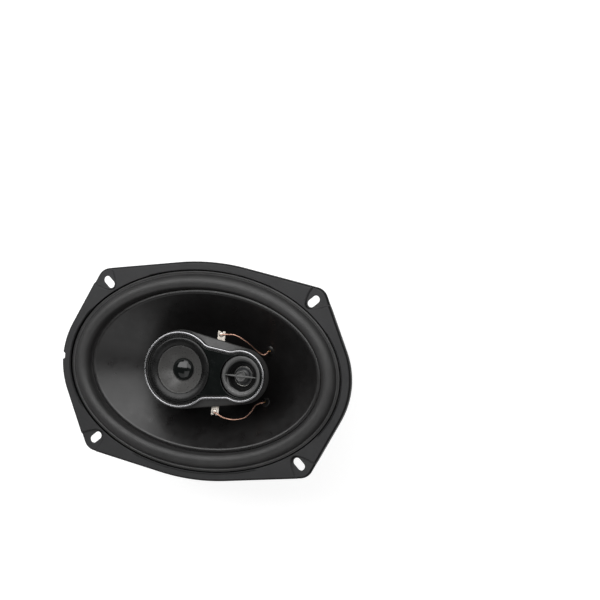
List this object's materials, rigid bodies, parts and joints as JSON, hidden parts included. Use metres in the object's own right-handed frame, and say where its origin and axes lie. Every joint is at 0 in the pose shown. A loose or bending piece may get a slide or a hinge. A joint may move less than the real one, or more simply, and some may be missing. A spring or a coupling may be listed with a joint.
{
  "type": "coaxial car speaker",
  "caption": "Oval three-way coaxial car speaker: pressed-steel basket, oval cone with a rubber roll, and a keyhole pod with midrange and tweeter on a centre post.",
  "frame": {"origin": "centre of the underside of the magnet cover, on the speaker axis", "axes": "+Z along the speaker axis to the front, +X along the long axis of the oval, from the midrange to the tweeter, +Y along its short axis"},
  "size_m": [0.2346, 0.164, 0.093],
  "materials": {
    "black_steel": "satin black powder coat",
    "edge_rubber": "satin black moulded rubber",
    "black_poly": "satin to gloss black moulded sheet",
    "former": "brown heat-proof film",
    "copper": "enamelled copper wire",
    "spider_cloth": "treated woven cloth",
    "plated_steel": "zinc-plated steel",
    "ferrite": "ground ferrite",
    "cover_rubber": "matte black moulded rubber",
    "board": "brown phenolic board",
    "tinned": "bright tin plate",
    "brass": "plain brass",
    "copper_braid": "braided bare copper tinsel",
    "black_plastic": "satin black moulded plastic",
    "gloss_black": "gloss black",
    "bright_trim": "bright plated rim",
    "grey_plastic": "satin dark grey moulded plastic",
    "mid_edge": "dark grey treated cloth edge",
    "grey_paper": "pressed dark grey paper",
    "neodymium": "nickel-plated magnet",
    "dome": "coated black dome",
    "sleeve": "dark blue sleeve"
  },
  "bodies": {
    "frame": {"basket": "black_steel", "surround": "edge_rubber", "spider": "spider_cloth", "top_plate": "plated_steel", "magnet_ring": "ferrite", "yoke": "plated_steel", "magnet_cover": "cover_rubber", "plate_rivet_1": "plated_steel", "plate_rivet_2": "plated_steel", "plate_rivet_3": "plated_steel", "plate_rivet_4": "plated_steel", "terminal_board": "board", "terminal_positive": "tinned", "terminal_negative": "tinned", "terminal_rivet_1": "brass", "terminal_rivet_2": "brass", "board_rivet": "brass", "tinsel_lead_positive": "copper_braid", "tinsel_lead_negative": "copper_braid", "front_lead_upper": "copper_braid", "front_lead_lower": "copper_braid", "solder_tab_upper": "tinned", "solder_tab_lower": "tinned", "pod_post": "black_plastic", "post_screw": "plated_steel", "pod_housing": "black_plastic", "pod_faceplate": "gloss_black", "pod_trim": "bright_trim", "mid_frame": "grey_plastic", "mid_surround": "mid_edge", "mid_magnet": "neodymium", "mid_top_plate": "plated_steel", "mid_yoke": "plated_steel", "tweeter_bezel": "grey_plastic", "tweeter_magnet": "neodymium", "tweeter_top_plate": "plated_steel", "tweeter_yoke": "plated_steel", "crossover_capacitor_1": "sleeve", "crossover_capacitor_2": "sleeve"},
    "cone": {"cone": "black_poly", "voice_coil_former": "former", "voice_coil_winding": "copper", "cone_eyelet_upper": "brass", "cone_eyelet_lower": "brass"},
    "midrange_cone": {"mid_cone": "grey_paper", "mid_dust_cap": "gloss_black", "mid_voice_coil": "copper"},
    "tweeter_dome": {"tweeter_dome": "dome", "tweeter_voice_coil": "copper"}
  },
  "joints": [
    {"name": "cone_travel", "type": "slide", "parent": "frame", "child": "cone", "axis": [0, 0, 1], "range_m": [-0.005, 0.005], "stiffness_N_per_m": 2500, "deforming": ["surround", "spider", "front_lead_upper", "front_lead_lower", "tinsel_lead_positive", "tinsel_lead_negative"]},
    {"name": "midrange_travel", "type": "slide", "parent": "frame", "child": "midrange_cone", "axis": [0, 0, 1], "range_m": [-0.0008, 0.0008], "stiffness_N_per_m": 200, "deforming": ["mid_surround"]},
    {"name": "tweeter_travel", "type": "slide", "parent": "frame", "child": "tweeter_dome", "axis": [0, 0, 1], "range_m": [-0.00025, 0.00025], "stiffness_N_per_m": 50}
  ]
}
